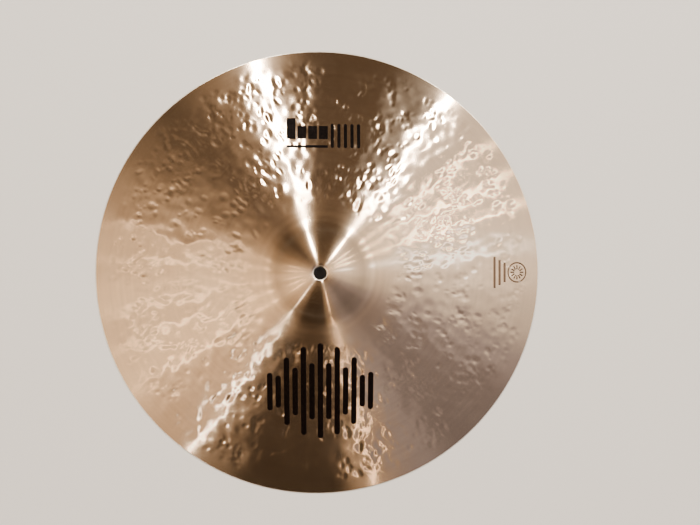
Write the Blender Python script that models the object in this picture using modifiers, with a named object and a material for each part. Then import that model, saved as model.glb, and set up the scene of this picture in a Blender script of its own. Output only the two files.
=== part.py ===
"""A thin 18 inch crash cymbal: one sheet of hammered and lathed bronze, with two prints of black ink.

The cymbal lies rim down on z = 0, its axis is +Z and its bell points up.
"""

import math

import bpy

# Driving dimensions, in metres and degrees.
DIAMETER = 0.4572
HOLE_DIAMETER = 0.0127
HOLE_CHAMFER = 0.0009  # width on top; it is half as deep
HOLE_UNDER_CHAMFER = 0.0003
SEAT_RADIUS = 0.010  # flat ring round the hole, where the felts bear
BELL_RADIUS = 0.056
BELL_FLANK_RADIUS = 0.043  # where the bell is steepest
BELL_FLANK_ANGLE = 35.0
BOW_ANGLE_AT_BELL = 4.0
BOW_ANGLE_AT_RIM = 12.5
THICKNESS_AT_HOLE = 0.00125
THICKNESS_AT_RIM = 0.00080
EDGE_LAND = 0.0009  # the ring of the underside that the rim rests on ends this far inside the edge
EDGE_BREAK = 0.00022  # bevel that takes the sharpness off the edge

# Facets of the turned surfaces.
STEPS = 80
DOME_POINTS = 7
FILLET_POINTS = 5
BOW_POINTS = 9
MERGE_DISTANCE = 0.00001

# Prints. Ink lies a little above the bronze, and the two never touch.
INK_GAP = 0.0001
INK_THICKNESS = 0.0001
PRINT_INNER_RADIUS = 0.062
PRINT_OUTER_RADIUS = 0.205
STENCIL_TOP = 0.08
ROUND_END_POINTS = 6

EMBLEM_CENTRE = (0.0, -0.1185)
EMBLEM_SIZE = (0.106, 0.098)
EMBLEM_BARS = 13
EMBLEM_BAR_SHARE = 0.64  # share of the pitch that is inked
EMBLEM_LOW = 0.22  # height the bars would fade to one step beyond the ends, as a share of the full height
EMBLEM_SHORT = 0.60  # every second bar keeps this much of the envelope

LABEL_CENTRE = (0.003, 0.1365)
LABEL_BLOCKS = 4
LABEL_BLOCK_SIZE = (0.0088, 0.0135)
LABEL_BLOCK_PITCH = 0.0108
LABEL_FIRST_BLOCK_HEIGHT = 0.0215
LABEL_STROKES = 5
LABEL_STROKE_SIZE = (0.0032, 0.0250)
LABEL_STROKE_PITCH = 0.0066
LABEL_UNDERLINE_HEIGHT = 0.0026
LABEL_GROUP_GAP = 0.0030

BRONZE_COLOUR = (0.66, 0.47, 0.30)
BRONZE_ROUGHNESS = 0.28
INK_COLOUR = (0.018, 0.014, 0.013)
INK_ROUGHNESS = 0.42

RIM_RADIUS = DIAMETER / 2
HOLE_RADIUS = HOLE_DIAMETER / 2


def clear_scene():
    for item in list(bpy.data.objects):
        bpy.data.objects.remove(item)


def new_collection(name):
    collection = bpy.data.collections.new(name)
    bpy.context.scene.collection.children.link(collection)
    return collection


def principled(name, colour, roughness, metallic):
    material = bpy.data.materials.new(name)
    material.use_nodes = True
    shader = material.node_tree.nodes["Principled BSDF"]
    shader.inputs["Base Color"].default_value = (*colour, 1.0)
    shader.inputs["Roughness"].default_value = roughness
    shader.inputs["Metallic"].default_value = metallic
    return material


# ---------------------------------------------------------------- the turned profile


def bow_slope(radius):
    """Fall of the bow's top surface for each unit of radius. It steepens evenly from bell to rim."""
    at_bell = math.tan(math.radians(BOW_ANGLE_AT_BELL))
    at_rim = math.tan(math.radians(BOW_ANGLE_AT_RIM))
    share = (radius - BELL_RADIUS) / (RIM_RADIUS - BELL_RADIUS)
    return at_bell + (at_rim - at_bell) * share


def bow_height(radius):
    """Height of the bow's top surface, so that the underside reaches z = 0 at the rest land."""
    rim_slope = bow_slope(RIM_RADIUS)
    rim_height = THICKNESS_AT_RIM * math.hypot(1, rim_slope) - rim_slope * EDGE_LAND
    mean_slope = (bow_slope(radius) + rim_slope) / 2
    return rim_height + mean_slope * (RIM_RADIUS - radius)


def thickness(radius):
    share = (radius - HOLE_RADIUS) / (RIM_RADIUS - HOLE_RADIUS)
    return THICKNESS_AT_HOLE + (THICKNESS_AT_RIM - THICKNESS_AT_HOLE) * share


def steps_between(start, end, count):
    """count values after start, the last one at end."""
    return [start + (end - start) * i / count for i in range(1, count + 1)]


def top_outline():
    """(radius, height, slope angle) along the top surface, from the seat's outer edge to the rim."""
    flank = math.radians(BELL_FLANK_ANGLE)
    base = math.atan(bow_slope(BELL_RADIUS))
    fillet_radius = (BELL_RADIUS - BELL_FLANK_RADIUS) / (math.sin(flank) - math.sin(base))
    dome_radius = (BELL_FLANK_RADIUS - SEAT_RADIUS) / math.sin(flank)
    flank_height = bow_height(BELL_RADIUS) + fillet_radius * (math.cos(base) - math.cos(flank))
    seat_height = flank_height + dome_radius * (1 - math.cos(flank))
    points = [(SEAT_RADIUS, seat_height, 0.0)]
    for angle in steps_between(0.0, flank, DOME_POINTS):
        radius = SEAT_RADIUS + dome_radius * math.sin(angle)
        points.append((radius, seat_height - dome_radius * (1 - math.cos(angle)), angle))
    for angle in steps_between(flank, base, FILLET_POINTS):
        radius = BELL_RADIUS - fillet_radius * (math.sin(angle) - math.sin(base))
        height = bow_height(BELL_RADIUS) + fillet_radius * (math.cos(base) - math.cos(angle))
        points.append((radius, height, angle))
    for radius in steps_between(BELL_RADIUS, RIM_RADIUS - EDGE_LAND, BOW_POINTS):
        points.append((radius, bow_height(radius), math.atan(bow_slope(radius))))
    return points


def cymbal_profile():
    """Closed section of the bronze: along the top, over the edge and back underneath."""
    top = top_outline()
    seat_height = top[0][1]
    seat_underside = seat_height - thickness(SEAT_RADIUS)
    profile = [
        (HOLE_RADIUS, seat_height - HOLE_CHAMFER / 2),
        (HOLE_RADIUS + HOLE_CHAMFER, seat_height),
    ]
    profile += [(radius, height) for radius, height, _ in top]
    profile += [
        (RIM_RADIUS - EDGE_BREAK, bow_height(RIM_RADIUS - EDGE_BREAK)),
        (RIM_RADIUS, bow_height(RIM_RADIUS) - EDGE_BREAK),
        (RIM_RADIUS, EDGE_BREAK),
        (RIM_RADIUS - EDGE_BREAK, 0.0),
        (RIM_RADIUS - EDGE_LAND, 0.0),
    ]
    for radius, height, angle in reversed(top[1:-1]):
        depth = thickness(radius)
        profile.append((radius - depth * math.sin(angle), height - depth * math.cos(angle)))
    profile += [
        (SEAT_RADIUS, seat_underside),
        (HOLE_RADIUS + HOLE_UNDER_CHAMFER, seat_underside),
        (HOLE_RADIUS, seat_underside + HOLE_UNDER_CHAMFER),
    ]
    return profile


def ink_profile():
    """Section of a thin skin over the printed part of the bow, facet for facet above the bronze."""
    inside = [p for p in top_outline() if PRINT_INNER_RADIUS < p[0] < PRINT_OUTER_RADIUS]
    radii = [PRINT_INNER_RADIUS, *(p[0] for p in inside), PRINT_OUTER_RADIUS]
    upper = [(radius, faceted_top(radius) + INK_GAP + INK_THICKNESS) for radius in radii]
    lower = [(radius, faceted_top(radius) + INK_GAP) for radius in reversed(radii)]
    return upper + lower


def faceted_top(radius):
    """Height of the straight facets between the points of the top outline."""
    points = top_outline()
    for inner, outer in zip(points, points[1:]):
        if inner[0] <= radius <= outer[0]:
            share = (radius - inner[0]) / (outer[0] - inner[0])
            return inner[1] + share * (outer[1] - inner[1])
    raise ValueError("the radius is off the top surface")


def turned(name, profile, collection):
    """A closed section turned once round +Z."""
    mesh = bpy.data.meshes.new(name)
    count = len(profile)
    edges = [(i, (i + 1) % count) for i in range(count)]
    mesh.from_pydata([(radius, 0.0, height) for radius, height in profile], edges, [])
    item = bpy.data.objects.new(name, mesh)
    collection.objects.link(item)
    screw = item.modifiers.new("turn", "SCREW")
    screw.axis = "Z"
    screw.angle = math.tau
    screw.steps = STEPS
    screw.render_steps = STEPS
    screw.use_merge_vertices = True
    screw.merge_threshold = MERGE_DISTANCE
    return item


def evaluated_mesh(item):
    """The object's mesh with its modifiers applied."""
    graph = bpy.context.evaluated_depsgraph_get()
    return bpy.data.meshes.new_from_object(item.evaluated_get(graph))


# ---------------------------------------------------------------- the prints


def bar_outline(centre, size, rounded):
    """Corners of an upright bar, anticlockwise, with half-round ends if rounded."""
    x, y = centre
    half_width, half_height = size[0] / 2, size[1] / 2
    if not rounded:
        return [
            (x - half_width, y - half_height),
            (x + half_width, y - half_height),
            (x + half_width, y + half_height),
            (x - half_width, y + half_height),
        ]
    points = []
    for middle, start in ((y - half_height + half_width, math.pi), (y + half_height - half_width, 0.0)):
        for i in range(ROUND_END_POINTS + 1):
            angle = start + math.pi * i / ROUND_END_POINTS
            points.append((x + half_width * math.cos(angle), middle + half_width * math.sin(angle)))
    return points


def stencil(name, outline, collection):
    """A tall prism of the outline, from the rest plane to above the bell."""
    curve = bpy.data.curves.new(name, "CURVE")
    curve.dimensions = "2D"
    curve.fill_mode = "BOTH"
    curve.extrude = STENCIL_TOP / 2
    spline = curve.splines.new("POLY")
    spline.points.add(len(outline) - 1)
    spline.use_cyclic_u = True
    for point, (x, y) in zip(spline.points, outline):
        point.co = (x, y, 0.0, 1.0)
    flat = bpy.data.objects.new(name + "_outline", curve)
    collection.objects.link(flat)
    bpy.context.view_layer.update()
    mesh = evaluated_mesh(flat)
    bpy.data.objects.remove(flat)
    prism = bpy.data.objects.new(name, mesh)
    prism.location.z = STENCIL_TOP / 2
    prism.display_type = "WIRE"
    prism.hide_render = True
    weld = prism.modifiers.new("close_caps", "WELD")
    weld.merge_threshold = MERGE_DISTANCE
    collection.objects.link(prism)
    return prism


def ink_patch(name, outline, skin, ink, parts, helpers):
    """One printed patch: the part of the ink skin inside an outline."""
    patch = bpy.data.objects.new(name, skin.data.copy())
    parts.objects.link(patch)
    patch.data.materials.clear()
    patch.data.materials.append(ink)
    cut = patch.modifiers.new("inside_outline", "BOOLEAN")
    cut.operation = "INTERSECT"
    cut.object = stencil("stencil_" + name, outline, helpers)
    return patch


def emblem_outlines():
    """Rounded upright bars under a swelling envelope, every second one short, like a sound wave."""
    pitch = EMBLEM_SIZE[0] / (EMBLEM_BARS - 1 + EMBLEM_BAR_SHARE)
    middle = (EMBLEM_BARS - 1) / 2
    outlines = []
    for i in range(EMBLEM_BARS):
        swell = math.cos(math.pi / 2 * (i - middle) / (middle + 1))
        height = EMBLEM_SIZE[1] * (EMBLEM_LOW + (1 - EMBLEM_LOW) * swell)
        if (i - middle) % 2:
            height *= EMBLEM_SHORT
        centre = (EMBLEM_CENTRE[0] + (i - middle) * pitch, EMBLEM_CENTRE[1])
        outlines.append(bar_outline(centre, (pitch * EMBLEM_BAR_SHARE, height), rounded=True))
    return outlines


def label_outlines():
    """(name, outline) of the small print: heavy blocks, then thin strokes, and a line under the blocks."""
    blocks_width = LABEL_BLOCK_PITCH * (LABEL_BLOCKS - 1) + LABEL_BLOCK_SIZE[0]
    strokes_width = LABEL_STROKE_PITCH * (LABEL_STROKES - 1) + LABEL_STROKE_SIZE[0]
    left = LABEL_CENTRE[0] - (blocks_width + LABEL_GROUP_GAP + strokes_width) / 2
    stroke_bottom = LABEL_CENTRE[1] - (LABEL_FIRST_BLOCK_HEIGHT + LABEL_STROKE_SIZE[1]) / 4
    block_bottom = LABEL_CENTRE[1] - LABEL_UNDERLINE_HEIGHT
    outlines = []
    for i in range(LABEL_BLOCKS):
        height = LABEL_BLOCK_SIZE[1] if i else LABEL_FIRST_BLOCK_HEIGHT
        centre = (left + LABEL_BLOCK_SIZE[0] / 2 + i * LABEL_BLOCK_PITCH, block_bottom + height / 2)
        outline = bar_outline(centre, (LABEL_BLOCK_SIZE[0], height), rounded=False)
        outlines.append((f"label_block_{i + 1}", outline))
    first_stroke = left + blocks_width + LABEL_GROUP_GAP + LABEL_STROKE_SIZE[0] / 2
    for i in range(LABEL_STROKES):
        centre = (first_stroke + i * LABEL_STROKE_PITCH, stroke_bottom + LABEL_STROKE_SIZE[1] / 2)
        outlines.append((f"label_stroke_{i + 1}", bar_outline(centre, LABEL_STROKE_SIZE, rounded=True)))
    line_centre = (left + blocks_width / 2, stroke_bottom + LABEL_UNDERLINE_HEIGHT / 2)
    line = bar_outline(line_centre, (blocks_width, LABEL_UNDERLINE_HEIGHT), rounded=False)
    outlines.append(("label_underline", line))
    return outlines


def main():
    clear_scene()
    parts = new_collection("crash_cymbal")
    helpers = new_collection("helpers")
    bronze = principled("bronze", BRONZE_COLOUR, BRONZE_ROUGHNESS, metallic=1.0)
    ink = principled("ink", INK_COLOUR, INK_ROUGHNESS, metallic=0.0)

    cymbal = turned("cymbal", cymbal_profile(), parts)
    cymbal.data.materials.append(bronze)

    turned_skin = turned("ink_skin_section", ink_profile(), helpers)
    bpy.context.view_layer.update()
    skin = bpy.data.objects.new("ink_skin", evaluated_mesh(turned_skin))
    bpy.data.objects.remove(turned_skin)
    skin.display_type = "WIRE"
    skin.hide_render = True
    helpers.objects.link(skin)

    for i, outline in enumerate(emblem_outlines()):
        ink_patch(f"emblem_bar_{i + 1:02d}", outline, skin, ink, parts, helpers)
    for name, outline in label_outlines():
        ink_patch(name, outline, skin, ink, parts, helpers)


main()
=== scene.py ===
"""Looks of a thin 18 inch crash cymbal: hammered, lathed bronze with two black prints and an etched mark.

The cymbal lies rim down on z = 0 and is seen from straight above the bell, under soft studio lights.
"""

import math

import bpy
import numpy as np
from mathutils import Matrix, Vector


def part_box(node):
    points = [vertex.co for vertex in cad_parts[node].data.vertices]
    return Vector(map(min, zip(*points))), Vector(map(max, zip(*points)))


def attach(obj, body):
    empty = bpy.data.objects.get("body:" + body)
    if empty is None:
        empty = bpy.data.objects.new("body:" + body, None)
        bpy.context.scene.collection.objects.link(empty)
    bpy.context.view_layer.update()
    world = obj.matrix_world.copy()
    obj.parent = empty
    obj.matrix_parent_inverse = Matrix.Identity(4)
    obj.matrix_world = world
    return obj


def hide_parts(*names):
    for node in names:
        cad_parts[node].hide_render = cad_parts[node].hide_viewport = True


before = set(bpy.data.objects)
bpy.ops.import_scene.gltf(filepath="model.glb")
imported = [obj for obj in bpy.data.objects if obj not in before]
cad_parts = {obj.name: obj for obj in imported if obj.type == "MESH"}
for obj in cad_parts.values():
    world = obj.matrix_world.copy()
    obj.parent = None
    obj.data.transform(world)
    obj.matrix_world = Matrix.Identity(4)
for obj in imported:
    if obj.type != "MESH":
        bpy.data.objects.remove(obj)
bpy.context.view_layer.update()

BODY = "root"

# Profile of the sheet, in metres. Its radius comes from the frame, and the rest are the values of the CAD
# design. The height that they give is compared with the frame's.
LOW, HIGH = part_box("cymbal")
RIM_RADIUS = (HIGH[0] - LOW[0]) / 2
TOTAL_HEIGHT = HIGH[2] - LOW[2]
HOLE_RADIUS = 0.00635
HOLE_CHAMFER = 0.0009
HOLE_UNDER_CHAMFER = 0.0003
SEAT_RADIUS = 0.010
BELL_RADIUS = 0.056
BELL_FLANK_RADIUS = 0.043
BELL_FLANK_ANGLE = math.radians(35.0)
BOW_ANGLE_AT_BELL = math.radians(4.0)
BOW_ANGLE_AT_RIM = math.radians(12.5)
THICKNESS_AT_HOLE = 0.00125
THICKNESS_AT_RIM = 0.00080
EDGE_LAND = 0.0009  # how far in the rim's flat underside reaches
HEIGHT_TOLERANCE = 0.0002

# Fineness of the turned mesh. The bell's dome has DOME_RINGS, and the curve from it to the bow FILLET_RINGS.
SPOKES = 1440
DOME_RINGS = 26
FILLET_RINGS = 14
BOW_RINGS = 190
UNDER_STRIDE = 4  # the underside has one ring for this many on the top
EDGE_POINTS = 9
EDGE_DEPTH = 0.0008  # how far in the rim is rounded
MARGIN = 1.01  # slack for the faces that lie right at a limit
SHARP_ANGLE = math.radians(40)

# Hammering: a map of heights, in metres, over the plan of the cymbal. It fades in between the two radii of
# HAMMER_START, and out between those of HAMMER_END.
SEED = 18
MAP_STEP = 0.0005
MAP_HALF = 0.235
HAMMER_START = (0.064, 0.080)
HAMMER_END = (0.205, 0.223)
DIMPLES = 1900
NEW_RUN_CHANCE = 0.40
BLOW_STEP = (0.004, 0.009)
DIMPLE_RADIUS = (0.0026, 0.0066)
DIMPLE_STEEPNESS = (0.008, 0.048)  # depth as a share of the radius
DIMPLE_SQUEEZE = (0.50, 0.95)  # short side as a share of the long one
DIMPLE_TURN = 0.6  # spread of the long side about the radius, in radians
WAVES = ((0.0200, 0.000085), (0.0062, 0.000040))  # length and spread of each

# Prints and mark are films that lie on the bronze. They rise above it, and sink a little into it.
INK_RISE = 0.00005
INK_SINK = 0.00003
INK_CELL = 0.0007
INK_COLUMNS = 5  # points across a print, at least
ROUND_END_ROWS = 9
ROUND_END_ANGLE = math.radians(84)  # a round end stops short of a point
ROUND_PRINTS = ("emblem_bar", "label_stroke")

# Etched mark near the rim at +X: a ring of ticks, and bars beside it.
MARK_RISE = 0.000015
MARK_LINE = 0.0014
MARK_RING_CENTRE = (0.2040, 0.0)
MARK_RING_RADIUS = 0.0100
MARK_TICKS = 12
MARK_TICK_SPAN = (0.0032, 0.0074)
MARK_BAR_LENGTHS = (0.020, 0.026, 0.032)
MARK_BAR_START = 0.1900
MARK_BAR_PITCH = 0.0056
MARK_BAR_WIDTH = 0.0024
MARK_BAR_CELL = 0.0009
MARK_BAR_COLUMNS = 3
ARC_STEPS = 72
TICK_STEPS = 4

# Bronze. Noise scales are per metre.
BRONZE_TONES = ((0.69, 0.53, 0.385, 1.0), (0.73, 0.57, 0.42, 1.0))
BRONZE_ROUGHNESS = 0.165
BRONZE_STRETCH = 1.0  # how far lathing stretches the highlights
ETCHED_TONES = ((0.14, 0.08, 0.04, 1.0), (0.22, 0.13, 0.07, 1.0))
ETCHED_ROUGHNESS = 0.42
ETCHED_STRETCH = 0.3
# Worn hole and rim: real wear, and a near-white colour that paints the bright highlight along their edges.
RUBBED_AND_HIGHLIGHT_TONES = ((0.86, 0.76, 0.64, 1.0), (0.96, 0.90, 0.81, 1.0))
BURNISHED_ROUGHNESS = (0.42, 0.28)
WEAR_SCALE = 400.0
BAND_SCALE = 260.0
GROOVE_SCALE = 1500.0
CLOUD_SCALE = 22.0
NOISE_RANGE = (0.3, 0.7)  # where nearly all of a noise lies
CLOUD_RANGE = (0.35, 0.65)
BAND_SHADE = (0.97, 1.02)
BAND_ROUGHNESS = (-0.005, 0.006)
CLOUD_ROUGHNESS = (-0.02, 0.03)
GROOVE_STRENGTH = 0.06
GROOVE_DEPTH = 0.00003
ALONG_RADIUS = 0.25  # turn of the highlights, as a share of a circle
POLISH_RADII = (0.060, 0.100)  # the bow's smoother, glossier skin grows between these
POLISH = 0.35
POLISH_ROUGHNESS = 0.08
POLISH_IOR = 2.6
BELL_ROUGHNESS = 0.015  # how much rougher the bell is

# Ink.
INK_TONES = ((0.005, 0.003, 0.0025, 1.0), (0.020, 0.012, 0.009, 1.0))
INK_ROUGHNESS = (0.30, 0.46)
INK_SPECULAR = 0.06
INK_THIN_SCALE = 900.0
INK_THIN_RANGE = (0.45, 0.75)
INK_SHEEN_SCALE = 300.0

# The sky round the cymbal: azimuth in degrees, brightness and tint. Near the horizon it is even.
WARM = (1.0, 0.75, 0.54)
STRAW = (1.0, 0.78, 0.57)
PALE = (1.0, 0.905, 0.81)
MAUVE = (0.97, 0.87, 0.90)
AMBER = (1.0, 0.85, 0.66)
COOL = (0.75, 0.87, 1.0)
LAMP = (1.0, 0.93, 0.84)
HORIZON = (0.26, 0.25, 0.24, 1.0)
HORIZON_HEIGHTS = (0.02, 0.12)  # z of a direction, 1 being straight up: the even part ends between these
SHADED_HEIGHTS = (0.35, 0.85)  # the sky brightens between these two z
SHADE = (0.65, 1.0)  # share of its brightness below them and above them
SKY_PEAK = 2.0
SKY = (
    (0, 1.35, PALE),
    (46, 1.05, PALE),
    (60, 0.42, PALE),
    (72, 0.17, WARM),
    (92, 0.16, WARM),
    (104, 0.34, WARM),
    (118, 0.40, WARM),
    (135, 0.18, WARM),
    (147, 0.30, WARM),
    (162, 0.62, WARM),
    (174, 1.10, STRAW),
    (186, 1.42, STRAW),
    (197, 1.20, STRAW),
    (208, 1.42, STRAW),
    (226, 0.90, WARM),
    (240, 0.32, WARM),
    (250, 0.10, WARM),
    (273, 0.09, WARM),
    (280, 0.48, WARM),
    (296, 0.40, MAUVE),
    (308, 0.28, MAUVE),
    (322, 0.32, MAUVE),
    (333, 0.50, MAUVE),
    (346, 0.95, PALE),
)
LAMP_DISTANCE = 2.3

# Narrow strips that draw the bright rays and the thin lines: azimuth, tilt and span in degrees, length in
# metres, watts per square metre and colour. The fill is wide, and isn't seen in reflections.
STRIPS = (
    (108.5, 43, 2.4, 2.0, 190.0, LAMP),
    (53.5, 43, 1.8, 2.0, 190.0, LAMP),
    (233.5, 43, 0.3, 2.0, 90.0, LAMP),
    (283, 43, 0.4, 2.0, 32.0, WARM),
    (6, 30, 3.5, 1.0, 9.0, COOL),
    (18, 33, 0.9, 1.1, 50.0, AMBER),
    (27, 33, 0.9, 1.1, 50.0, AMBER),
    (36, 33, 0.9, 1.1, 50.0, AMBER),
    (169, 33, 0.7, 1.1, 11.0, STRAW),
    (178, 33, 0.7, 1.1, 14.0, STRAW),
    (192, 33, 0.7, 1.1, 14.0, STRAW),
    (202, 33, 0.7, 1.1, 18.0, STRAW),
    (213, 33, 0.7, 1.1, 20.0, STRAW),
)
FILL = (300, 20, 200, 3.0, 2.4, (1.0, 0.98, 0.95))

# Floor and backdrop.
BACKDROP = (0.50, 0.49, 0.475, 1.0)  # what the camera sees past the floor, as a share of SKY_PEAK
FLOOR_FADE = (0.6, 2.4)  # the floor turns clear between these distances
FLOOR_COLOUR = (0.78, 0.77, 0.75, 1.0)
FLOOR_ROUGHNESS = 0.75
FLOOR_CORNERS = 96
FLOOR_DROP = 0.0005

# Camera, nearly straight above the bell.
CAMERA_PLACE = (0.0081, 0.0102, 0.540)
CAMERA_TURN = math.radians(-2.36)
CAMERA_LENS = 26.78
SENSOR_WIDTH = 36.0
VIEW_LOOK = "AgX - Medium High Contrast"


# ---------------------------------------------------------------- the sheet's profile


def bow_slope(radius):
    share = (radius - BELL_RADIUS) / (RIM_RADIUS - BELL_RADIUS)
    at_bell = math.tan(BOW_ANGLE_AT_BELL)
    return at_bell + (math.tan(BOW_ANGLE_AT_RIM) - at_bell) * share


def bow_height(radius):
    rim_slope = bow_slope(RIM_RADIUS)
    rim_height = THICKNESS_AT_RIM * math.hypot(1, rim_slope) - rim_slope * EDGE_LAND
    return rim_height + (bow_slope(radius) + rim_slope) / 2 * (RIM_RADIUS - radius)


def thickness(radius):
    share = (radius - HOLE_RADIUS) / (RIM_RADIUS - HOLE_RADIUS)
    return THICKNESS_AT_HOLE + (THICKNESS_AT_RIM - THICKNESS_AT_HOLE) * share


BOW_START_ANGLE = math.atan(bow_slope(BELL_RADIUS))
FILLET_RADIUS = (BELL_RADIUS - BELL_FLANK_RADIUS) / (math.sin(BELL_FLANK_ANGLE) - math.sin(BOW_START_ANGLE))
DOME_RADIUS = (BELL_FLANK_RADIUS - SEAT_RADIUS) / math.sin(BELL_FLANK_ANGLE)
FILLET_RISE = FILLET_RADIUS * (math.cos(BOW_START_ANGLE) - math.cos(BELL_FLANK_ANGLE))
FLANK_HEIGHT = bow_height(BELL_RADIUS) + FILLET_RISE
SEAT_HEIGHT = FLANK_HEIGHT + DOME_RADIUS * (1 - math.cos(BELL_FLANK_ANGLE))


def top_outline():
    """(radius, height, slope angle) along the top, from the seat's edge to just inside the rim."""
    points = []
    for angle in np.linspace(0.0, BELL_FLANK_ANGLE, DOME_RINGS):
        radius = SEAT_RADIUS + DOME_RADIUS * math.sin(angle)
        points.append((radius, SEAT_HEIGHT - DOME_RADIUS * (1 - math.cos(angle)), angle))
    for angle in np.linspace(BELL_FLANK_ANGLE, BOW_START_ANGLE, FILLET_RINGS)[1:]:
        radius = BELL_RADIUS - FILLET_RADIUS * (math.sin(angle) - math.sin(BOW_START_ANGLE))
        height = bow_height(BELL_RADIUS) + FILLET_RADIUS * (math.cos(BOW_START_ANGLE) - math.cos(angle))
        points.append((radius, height, angle))
    for radius in np.linspace(BELL_RADIUS, RIM_RADIUS - EDGE_LAND, BOW_RINGS)[1:]:
        points.append((radius, bow_height(radius), math.atan(bow_slope(radius))))
    return points


def edge_outline():
    """Rounded rim, from the top face to the rest land."""
    upper = bow_height(RIM_RADIUS)
    half = upper / 2
    points = []
    for angle in np.linspace(math.pi / 2, -math.pi / 2, EDGE_POINTS):
        points.append((RIM_RADIUS - EDGE_DEPTH * (1 - math.cos(angle)), half + half * math.sin(angle)))
    return points


def sheet_outline():
    """Closed section of the sheet, down the outer side."""
    top = top_outline()
    seat_under = SEAT_HEIGHT - thickness(SEAT_RADIUS)
    outline = [(HOLE_RADIUS, SEAT_HEIGHT - HOLE_CHAMFER / 2), (HOLE_RADIUS + HOLE_CHAMFER, SEAT_HEIGHT)]
    outline += [(radius, height) for radius, height, _ in top]
    outline += edge_outline()
    outline.append((RIM_RADIUS - EDGE_LAND, 0.0))
    for radius, height, angle in reversed(top[1:-1:UNDER_STRIDE]):
        depth = thickness(radius)
        outline.append((radius - depth * math.sin(angle), height - depth * math.cos(angle)))
    outline += [
        (SEAT_RADIUS, seat_under),
        (HOLE_RADIUS + HOLE_UNDER_CHAMFER, seat_under),
        (HOLE_RADIUS, seat_under + HOLE_UNDER_CHAMFER),
    ]
    return outline


# ---------------------------------------------------------------- the hammering


def ramp(value, start, end):
    share = np.clip((value - start) / (end - start), 0.0, 1.0)
    return share * share * (3 - 2 * share)


def smooth_noise(random, cells, length):
    """A field of unit spread that varies over the given length."""
    spectrum = np.fft.rfft2(random.standard_normal((cells, cells)))
    across = np.fft.rfftfreq(cells, MAP_STEP)
    down = np.fft.fftfreq(cells, MAP_STEP)
    # This is the spectrum of a Gaussian blur whose sigma is half the length.
    damping = np.exp(-2 * (math.pi * length / 2) ** 2 * (across[None, :] ** 2 + down[:, None] ** 2))
    field = np.fft.irfft2(spectrum * damping, (cells, cells))
    return field / field.std()


def hammered_map():
    """Heights of the hammered surface above the turned one, indexed by y, then x."""
    random = np.random.default_rng(SEED)
    cells = int(round(2 * MAP_HALF / MAP_STEP))
    axis = (np.arange(cells) + 0.5) * MAP_STEP - MAP_HALF
    x, y = np.meshgrid(axis, axis)
    heights = np.zeros((cells, cells))
    for length, spread in WAVES:
        heights += spread * smooth_noise(random, cells, length)
    place = (HAMMER_END[0], 0.0)
    for _ in range(DIMPLES):
        place = next_blow(place, random)
        stamp_dimple(heights, axis, place, random)
    radius = np.hypot(x, y)
    fade = ramp(radius, *HAMMER_START) * (1 - ramp(radius, *HAMMER_END))
    return heights * fade


def next_blow(last, random):
    """Where the hammer lands. Blows come in short runs, each beside the last, then start somewhere new."""
    heading = random.uniform(0, math.tau)
    if random.uniform() < NEW_RUN_CHANCE:
        distance = math.sqrt(random.uniform(HAMMER_START[0] ** 2, HAMMER_END[1] ** 2))
        return distance * math.cos(heading), distance * math.sin(heading)
    step = random.uniform(*BLOW_STEP)
    return last[0] + step * math.cos(heading), last[1] + step * math.sin(heading)


def stamp_dimple(heights, axis, place, random):
    """One oval dent with its long side roughly along the cymbal's radius."""
    x, y = place
    long_side = random.uniform(*DIMPLE_RADIUS)
    short_side = long_side * random.uniform(*DIMPLE_SQUEEZE)
    depth = short_side * random.uniform(*DIMPLE_STEEPNESS)
    turn = math.atan2(y, x) + random.normal(0.0, DIMPLE_TURN)
    columns = slice(*np.searchsorted(axis, (x - long_side, x + long_side)))
    rows = slice(*np.searchsorted(axis, (y - long_side, y + long_side)))
    across, up = np.meshgrid(axis[columns] - x, axis[rows] - y)
    along = across * math.cos(turn) + up * math.sin(turn)
    beside = up * math.cos(turn) - across * math.sin(turn)
    reach = (along / long_side) ** 2 + (beside / short_side) ** 2
    heights[rows, columns] -= depth * np.clip(1 - reach, 0.0, 1.0) ** 2


HAMMERED = hammered_map()


def hammer_height(x, y):
    """The hammered map between its points, by straight blending."""
    column = (np.asarray(x) + MAP_HALF) / MAP_STEP - 0.5
    row = (np.asarray(y) + MAP_HALF) / MAP_STEP - 0.5
    left = np.floor(column).astype(int)
    below = np.floor(row).astype(int)
    u, v = column - left, row - below
    lower = HAMMERED[below, left] * (1 - u) + HAMMERED[below, left + 1] * u
    upper = HAMMERED[below + 1, left] * (1 - u) + HAMMERED[below + 1, left + 1] * u
    return lower * (1 - v) + upper * v


def bow_grid():
    """Radii of the bow's rings, and the heights of its points, ring by ring."""
    radii = np.linspace(BELL_RADIUS, RIM_RADIUS - EDGE_LAND, BOW_RINGS)
    spokes = np.arange(SPOKES + 1) * math.tau / SPOKES
    x = radii[:, None] * np.cos(spokes)
    y = radii[:, None] * np.sin(spokes)
    return radii, bow_height(radii)[:, None] + hammer_height(x, y)


BOW_RADII, BOW_HEIGHTS = bow_grid()


def surface_height(x, y):
    """Height of the sheet's own facets on the bow."""
    ring = (np.hypot(x, y) - BOW_RADII[0]) / (BOW_RADII[1] - BOW_RADII[0])
    spoke = np.mod(np.arctan2(y, x), math.tau) * SPOKES / math.tau
    inner = np.floor(ring).astype(int)
    right = np.floor(spoke).astype(int)
    u, v = spoke - right, ring - inner
    near = BOW_HEIGHTS[inner, right] * (1 - u) + BOW_HEIGHTS[inner, right + 1] * u
    far = BOW_HEIGHTS[inner + 1, right] * (1 - u) + BOW_HEIGHTS[inner + 1, right + 1] * u
    return near * (1 - v) + far * v


# ---------------------------------------------------------------- meshes


def add_object(name, points, faces, material):
    mesh = bpy.data.meshes.new(name)
    mesh.from_pydata(points, [], faces)
    mesh.materials.append(material)
    mesh.shade_smooth()
    item = bpy.data.objects.new(name, mesh)
    bpy.context.scene.collection.objects.link(item)
    return item


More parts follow.
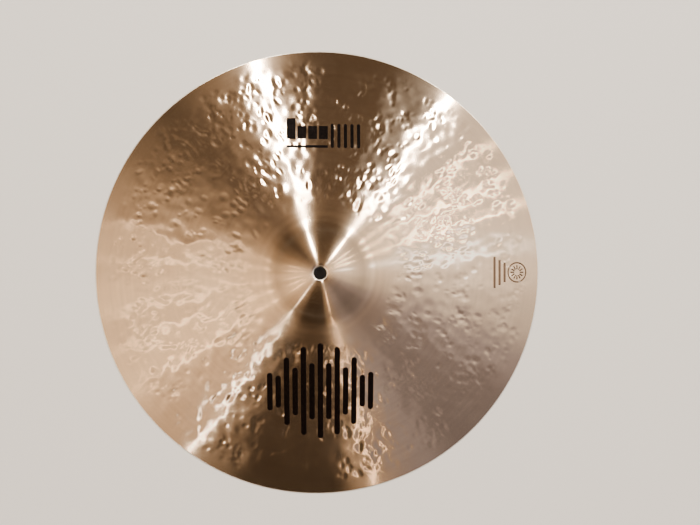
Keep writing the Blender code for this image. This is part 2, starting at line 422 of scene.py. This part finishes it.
def grid_faces(rows, columns, wrap_rows, wrap_columns):
    """Quads over a grid of points numbered row by row."""
    row = np.arange(rows if wrap_rows else rows - 1)
    column = np.arange(columns if wrap_columns else columns - 1)
    r, c = np.meshgrid(row, column, indexing="ij")
    next_r, next_c = (r + 1) % rows, (c + 1) % columns
    corners = (r * columns + c, next_r * columns + c, next_r * columns + next_c, r * columns + next_c)
    return np.stack([corner.ravel() for corner in corners], axis=1)


def bronze_sheet(lathed, rubbed_and_highlit):
    """The whole sheet. Its hole and its rim are worn, and their pale colour paints a bright highlight along
    their edges.
    """
    outline = np.array(sheet_outline())
    spokes = np.arange(SPOKES) * math.tau / SPOKES
    x = outline[:, 0, None] * np.cos(spokes)
    y = outline[:, 0, None] * np.sin(spokes)
    z = outline[:, 1, None] + hammer_height(x, y)
    points = np.stack([x, y, z], axis=2).reshape(-1, 3)
    faces = grid_faces(len(outline), SPOKES, wrap_rows=True, wrap_columns=True)
    sheet = add_object("bronze_sheet", points.tolist(), faces.tolist(), lathed)
    sheet.data.materials.append(rubbed_and_highlit)
    next_radius = np.roll(outline[:, 0], -1)
    widest = np.maximum(outline[:, 0], next_radius)
    narrowest = np.minimum(outline[:, 0], next_radius)
    # The hole's chamfer and the rim: worn bronze whose pale colour also paints their edge highlight.
    at_hole = widest < HOLE_RADIUS + HOLE_CHAMFER * MARGIN
    at_rim = narrowest > RIM_RADIUS - EDGE_DEPTH * MARGIN
    worn_and_highlit = at_hole | at_rim
    sheet.data.polygons.foreach_set("material_index", np.repeat(worn_and_highlit, SPOKES).astype(np.int32))
    sheet.data.set_sharp_from_angle(angle=SHARP_ANGLE)
    return sheet


def film(plan, rise, sink, closed_rows=False):
    """Points and faces of a thin body that follows the bronze. plan is a grid of (x, y) places.

    With closed_rows the last row joins the first.
    """
    rows, columns = plan.shape[:2]
    ground = surface_height(plan[..., 0], plan[..., 1])
    layers = [np.dstack([plan, ground + lift]).reshape(-1, 3) for lift in (rise, -sink)]
    count = rows * columns
    upper = grid_faces(rows, columns, closed_rows, False)
    faces = [upper, upper[:, ::-1] + count]
    row = np.arange(rows)
    column = np.arange(columns)
    sides = [row * columns, row[::-1] * columns + columns - 1]
    ends = [] if closed_rows else [column[::-1], (rows - 1) * columns + column]
    for side in sides + ends:
        following = np.roll(side, -1) if closed_rows else side[1:]
        first = side if closed_rows else side[:-1]
        faces.append(np.stack([first, following, following + count, first + count], axis=1)[:, ::-1])
    return np.vstack(layers), np.vstack(faces)


def bar_plan(centre, size, rounded, cell, columns):
    """Grid of places over an upright bar."""
    half_width, half_height = size[0] / 2, size[1] / 2
    straight = half_height - half_width if rounded else half_height
    rows = max(2, int(round(2 * straight / cell)) + 1)
    levels = np.linspace(-straight, straight, rows)
    widths = np.full(rows, half_width)
    if rounded:
        angles = np.linspace(0.0, ROUND_END_ANGLE, ROUND_END_ROWS)[1:]
        end = straight + half_width * np.sin(angles)
        narrowing = half_width * np.cos(angles)
        levels = np.concatenate([-end[::-1], levels, end])
        widths = np.concatenate([narrowing[::-1], widths, narrowing])
    across = np.linspace(-1.0, 1.0, columns)
    x = centre[0] + widths[:, None] * across[None, :]
    y = centre[1] + np.repeat(levels[:, None], columns, axis=1)
    return np.dstack([x, y])


def ink_print(node, material):
    """The ink that a CAD node stands for."""
    low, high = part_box(node)
    centre = ((low[0] + high[0]) / 2, (low[1] + high[1]) / 2)
    size = (high[0] - low[0], high[1] - low[1])
    columns = max(INK_COLUMNS, int(round(size[0] / INK_CELL)) + 1)
    plan = bar_plan(centre, size, node.startswith(ROUND_PRINTS), INK_CELL, columns)
    points, faces = film(plan, INK_RISE, INK_SINK)
    item = add_object("ink_" + node, points.tolist(), faces.tolist(), material)
    item.data.set_sharp_from_angle(angle=SHARP_ANGLE)
    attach(item, BODY)
    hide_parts(node)


def ring_plan(centre, radius, line):
    """Grid of places over a ring, in rows round it."""
    angles = np.arange(ARC_STEPS) * math.tau / ARC_STEPS
    radii = np.array([radius + line / 2, radius, radius - line / 2])
    x = centre[0] + radii[None, :] * np.cos(angles)[:, None]
    y = centre[1] + radii[None, :] * np.sin(angles)[:, None]
    return np.dstack([x, y])


def tick_plan(centre, angle, span, line):
    """Grid of places over a short line that points away from the centre."""
    distance = np.linspace(*span, TICK_STEPS)[:, None]
    offset = np.linspace(line / 2, -line / 2, 2)[None, :]
    x = centre[0] + distance * math.cos(angle) - offset * math.sin(angle)
    y = centre[1] + distance * math.sin(angle) + offset * math.cos(angle)
    return np.dstack([x, y])


def etched_mark(material):
    """A plain workshop mark, read from the rim: a ring of ticks and three bars."""
    plans = [(ring_plan(MARK_RING_CENTRE, MARK_RING_RADIUS, MARK_LINE), True)]
    for i in range(MARK_TICKS):
        angle = math.tau * i / MARK_TICKS
        plans.append((tick_plan(MARK_RING_CENTRE, angle, MARK_TICK_SPAN, MARK_LINE), False))
    for i, length in enumerate(MARK_BAR_LENGTHS):
        centre = (MARK_BAR_START - i * MARK_BAR_PITCH, 0.0)
        size = (MARK_BAR_WIDTH, length)
        plans.append((bar_plan(centre, size, False, MARK_BAR_CELL, MARK_BAR_COLUMNS), False))
    all_points, all_faces, start = [], [], 0
    for plan, closed in plans:
        points, faces = film(plan, MARK_RISE, INK_SINK, closed)
        all_points.append(points)
        all_faces.append(faces + start)
        start += len(points)
    mark = add_object("etched_mark", np.vstack(all_points).tolist(), np.vstack(all_faces).tolist(), material)
    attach(mark, BODY)


# ---------------------------------------------------------------- materials


def new_material(name):
    material = bpy.data.materials.new(name)
    material.use_nodes = True
    return material, material.node_tree, material.node_tree.nodes["Principled BSDF"]


class Nodes:
    """Short calls for building one material's nodes."""

    def __init__(self, tree):
        self.tree = tree

    def link(self, source, target):
        self.tree.links.new(source, target)

    def add(self, kind, inputs=(), **settings):
        node = self.tree.nodes.new("ShaderNode" + kind)
        for key, value in settings.items():
            setattr(node, key, value)
        for key, value in dict(inputs).items():
            if isinstance(value, bpy.types.NodeSocket):
                self.link(value, node.inputs[key])
            else:
                node.inputs[key].default_value = value
        return node

    def math(self, operation, first, second=0.0):
        return self.add("Math", {0: first, 1: second}, operation=operation).outputs[0]

    def noise(self, place, scale, detail=3.0, roughness=0.5):
        inputs = {"Vector": place, "Scale": scale, "Detail": detail, "Roughness": roughness}
        return self.add("TexNoise", inputs).outputs["Fac"]

    def noise_along(self, place, scale, detail):
        """Noise that varies with one number only."""
        inputs = {"W": place, "Scale": scale, "Detail": detail}
        return self.add("TexNoise", inputs, noise_dimensions="1D").outputs["Fac"]

    def between(self, value, low, high, to_low, to_high):
        inputs = {"Value": value, "From Min": low, "From Max": high, "To Min": to_low, "To Max": to_high}
        return self.add("MapRange", inputs).outputs["Result"]

    def mix(self, share, first, second, blend="MIX"):
        """A mix of two colours. The node has sockets for each kind of value, and these are the colour's."""
        node = self.tree.nodes.new("ShaderNodeMix")
        node.data_type = "RGBA"
        node.blend_type = blend
        for socket, value in ((node.inputs[0], share), (node.inputs[6], first), (node.inputs[7], second)):
            if isinstance(value, bpy.types.NodeSocket):
                self.link(value, socket)
            else:
                socket.default_value = value
        return node.outputs[2]


def bronze_material(name, tones, stretch, roughness):
    """Lathed bronze. Grooves run round the axis, so highlights stretch along the radius."""
    material, tree, shader = new_material(name)
    n = Nodes(tree)
    place = n.add("TexCoord").outputs["Object"]
    flat = n.add("VectorMath", {0: place, 1: (1.0, 1.0, 0.0)}, operation="MULTIPLY").outputs["Vector"]
    radius = n.add("VectorMath", {0: flat}, operation="LENGTH").outputs["Value"]
    bands = n.noise_along(radius, BAND_SCALE, detail=5.0)
    grooves = n.noise_along(radius, GROOVE_SCALE, detail=3.0)
    clouds = n.noise(place, CLOUD_SCALE, detail=5.0, roughness=0.55)
    patina = n.between(clouds, *CLOUD_RANGE, 0.0, 1.0)
    colour = n.mix(patina, *tones)
    shade = n.between(bands, *NOISE_RANGE, *BAND_SHADE)
    n.link(n.mix(1.0, colour, shade, "MULTIPLY"), shader.inputs["Base Color"])
    banded = n.between(bands, *NOISE_RANGE, *BAND_ROUGHNESS)
    clouded = n.between(clouds, *NOISE_RANGE, *CLOUD_ROUGHNESS)
    bell = n.between(radius, *POLISH_RADII, BELL_ROUGHNESS, 0.0)
    uneven = n.math("ADD", n.math("ADD", banded, clouded), bell)
    n.link(n.math("ADD", uneven, roughness), shader.inputs["Roughness"])
    n.link(n.between(radius, *POLISH_RADII, 0.0, POLISH), shader.inputs["Coat Weight"])
    bump = n.add("Bump", {"Height": grooves, "Strength": GROOVE_STRENGTH, "Distance": GROOVE_DEPTH})
    n.link(bump.outputs["Normal"], shader.inputs["Normal"])
    tangent = n.add("Tangent", direction_type="RADIAL", axis="Z")
    n.link(tangent.outputs["Tangent"], shader.inputs["Tangent"])
    shader.inputs["Metallic"].default_value = 1.0
    shader.inputs["Anisotropic"].default_value = stretch
    shader.inputs["Anisotropic Rotation"].default_value = ALONG_RADIUS
    shader.inputs["Coat Roughness"].default_value = POLISH_ROUGHNESS
    shader.inputs["Coat IOR"].default_value = POLISH_IOR
    return material


def rubbed_and_highlit_material():
    """Bare bronze, worn by sleeves, felts and handling, in a near-white colour that also paints the bright
    highlight along the edges.
    """
    material, tree, shader = new_material("rubbed_and_highlit_bronze")
    n = Nodes(tree)
    place = n.add("TexCoord").outputs["Object"]
    wear = n.between(n.noise(place, WEAR_SCALE, detail=4.0), *NOISE_RANGE, 0.0, 1.0)
    n.link(n.mix(wear, *RUBBED_AND_HIGHLIGHT_TONES), shader.inputs["Base Color"])
    n.link(n.between(wear, 0.0, 1.0, *BURNISHED_ROUGHNESS), shader.inputs["Roughness"])
    shader.inputs["Metallic"].default_value = 1.0
    return material


def ink_material():
    """Screen-printed ink, satin, a little thin in places."""
    material, tree, shader = new_material("printed_ink")
    n = Nodes(tree)
    place = n.add("TexCoord").outputs["Object"]
    thin = n.between(n.noise(place, INK_THIN_SCALE), *INK_THIN_RANGE, 0.0, 1.0)
    n.link(n.mix(thin, *INK_TONES), shader.inputs["Base Color"])
    dull = n.between(n.noise(place, INK_SHEEN_SCALE), *NOISE_RANGE, *INK_ROUGHNESS)
    n.link(dull, shader.inputs["Roughness"])
    shader.inputs["Specular IOR Level"].default_value = INK_SPECULAR
    return material


# ---------------------------------------------------------------- studio


def polar(azimuth, tilt, distance):
    """A point at an azimuth from +X and a tilt from the zenith, in degrees."""
    a, t = math.radians(azimuth), math.radians(tilt)
    return (
        distance * math.sin(t) * math.cos(a),
        distance * math.sin(t) * math.sin(a),
        distance * math.cos(t),
    )


def softbox(name, azimuth, tilt, span, length, brightness, colour, glossy=True):
    """A rectangular lamp that faces the cymbal. Its span is in azimuth, and its length runs up the sky."""
    width = math.radians(span) * LAMP_DISTANCE * math.sin(math.radians(tilt))
    lamp = bpy.data.lights.new(name, "AREA")
    lamp.shape = "RECTANGLE"
    lamp.size = length
    lamp.size_y = width
    lamp.energy = brightness * width * length
    lamp.color = colour
    item = bpy.data.objects.new(name, lamp)
    item.location = polar(azimuth, tilt, LAMP_DISTANCE)
    item.rotation_euler = (0.0, math.radians(tilt), math.radians(azimuth))
    item.visible_glossy = glossy
    item.visible_camera = False
    bpy.context.scene.collection.objects.link(item)


def sky_stops():
    """Positions, brightnesses and tints along the sky's colour ramp, whose two ends meet at azimuth 180."""
    stops = sorted(((azimuth / 360 + 0.5) % 1.0, light, tint) for azimuth, light, tint in SKY)
    first, last = stops[0], stops[-1]
    seam = first if first[0] < 1 - last[0] else last
    return [(0.0, *seam[1:]), *stops, (1.0, *seam[1:])]


def sky():
    """Soft light whose brightness changes with azimuth. The camera sees a plain backdrop instead."""
    room = bpy.data.worlds.new("studio_sky")
    room.use_nodes = True
    bpy.context.scene.world = room
    n = Nodes(room.node_tree)
    background = room.node_tree.nodes["Background"]
    direction = n.add("TexCoord").outputs["Generated"]
    around = n.add("TexGradient", {"Vector": direction}, gradient_type="RADIAL").outputs["Fac"]
    ramp_node = n.add("ValToRGB", {"Fac": around})
    stops = sky_stops()
    band = ramp_node.color_ramp
    band.interpolation = "EASE"
    while len(band.elements) < len(stops):
        band.elements.new(0.5)
    for element, (position, light, tint) in zip(band.elements, stops):
        element.position = position
        element.color = (*(light / SKY_PEAK * part for part in tint), 1.0)
    height = n.add("SeparateXYZ", {0: direction}).outputs["Z"]
    shade = n.between(height, *SHADED_HEIGHTS, *SHADE)
    above = n.between(height, *HORIZON_HEIGHTS, 0.0, 1.0)
    shaded = n.mix(1.0, ramp_node.outputs["Color"], shade, "MULTIPLY")
    seen = n.add("LightPath").outputs["Is Camera Ray"]
    n.link(n.mix(seen, n.mix(above, HORIZON, shaded), BACKDROP), background.inputs["Color"])
    background.inputs["Strength"].default_value = SKY_PEAK


def camera():
    lens = bpy.data.cameras.new("camera")
    lens.lens = CAMERA_LENS
    lens.sensor_width = SENSOR_WIDTH
    item = bpy.data.objects.new("camera", lens)
    item.location = CAMERA_PLACE
    item.rotation_euler = (0.0, CAMERA_TURN, 0.0)
    bpy.context.scene.collection.objects.link(item)
    bpy.context.scene.camera = item


def floor():
    """A pale round floor whose edge melts into the backdrop."""
    material, tree, shader = new_material("pale_floor")
    n = Nodes(tree)
    place = n.add("TexCoord").outputs["Object"]
    distance = n.add("VectorMath", {0: place}, operation="LENGTH").outputs["Value"]
    limits = {"From Min": FLOOR_FADE[0], "From Max": FLOOR_FADE[1], "To Min": 1.0, "To Max": 0.0}
    solid = n.add("MapRange", {"Value": distance, **limits}, interpolation_type="SMOOTHSTEP")
    shader.inputs["Base Color"].default_value = FLOOR_COLOUR
    shader.inputs["Roughness"].default_value = FLOOR_ROUGHNESS
    n.link(solid.outputs["Result"], shader.inputs["Alpha"])
    corners = [math.tau * i / FLOOR_CORNERS for i in range(FLOOR_CORNERS)]
    points = [(FLOOR_FADE[1] * math.cos(a), FLOOR_FADE[1] * math.sin(a), -FLOOR_DROP) for a in corners]
    item = add_object("floor", points, [tuple(range(FLOOR_CORNERS))], material)


def studio():
    bpy.context.scene.view_settings.look = VIEW_LOOK
    sky()
    for strip in STRIPS:
        softbox(f"strip_{strip[0]:.0f}", *strip)
    softbox("fill", *FILL, glossy=False)
    camera()
    floor()


def main():
    studio()
    bronze = bronze_material("lathed_bronze", BRONZE_TONES, BRONZE_STRETCH, BRONZE_ROUGHNESS)
    etched = bronze_material("etched_bronze", ETCHED_TONES, ETCHED_STRETCH, ETCHED_ROUGHNESS)
    # Worn hole and rim, with a painted edge highlight.
    rubbed_and_highlit = rubbed_and_highlit_material()
    ink = ink_material()
    sheet = bronze_sheet(bronze, rubbed_and_highlit)
    if abs(SEAT_HEIGHT - TOTAL_HEIGHT) > HEIGHT_TOLERANCE:
        raise ValueError("the sheet's profile isn't the packed one")
    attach(sheet, BODY)
    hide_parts("cymbal")
    etched_mark(etched)
    for node in sorted(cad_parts):
        if node != "cymbal":
            ink_print(node, ink)


main()
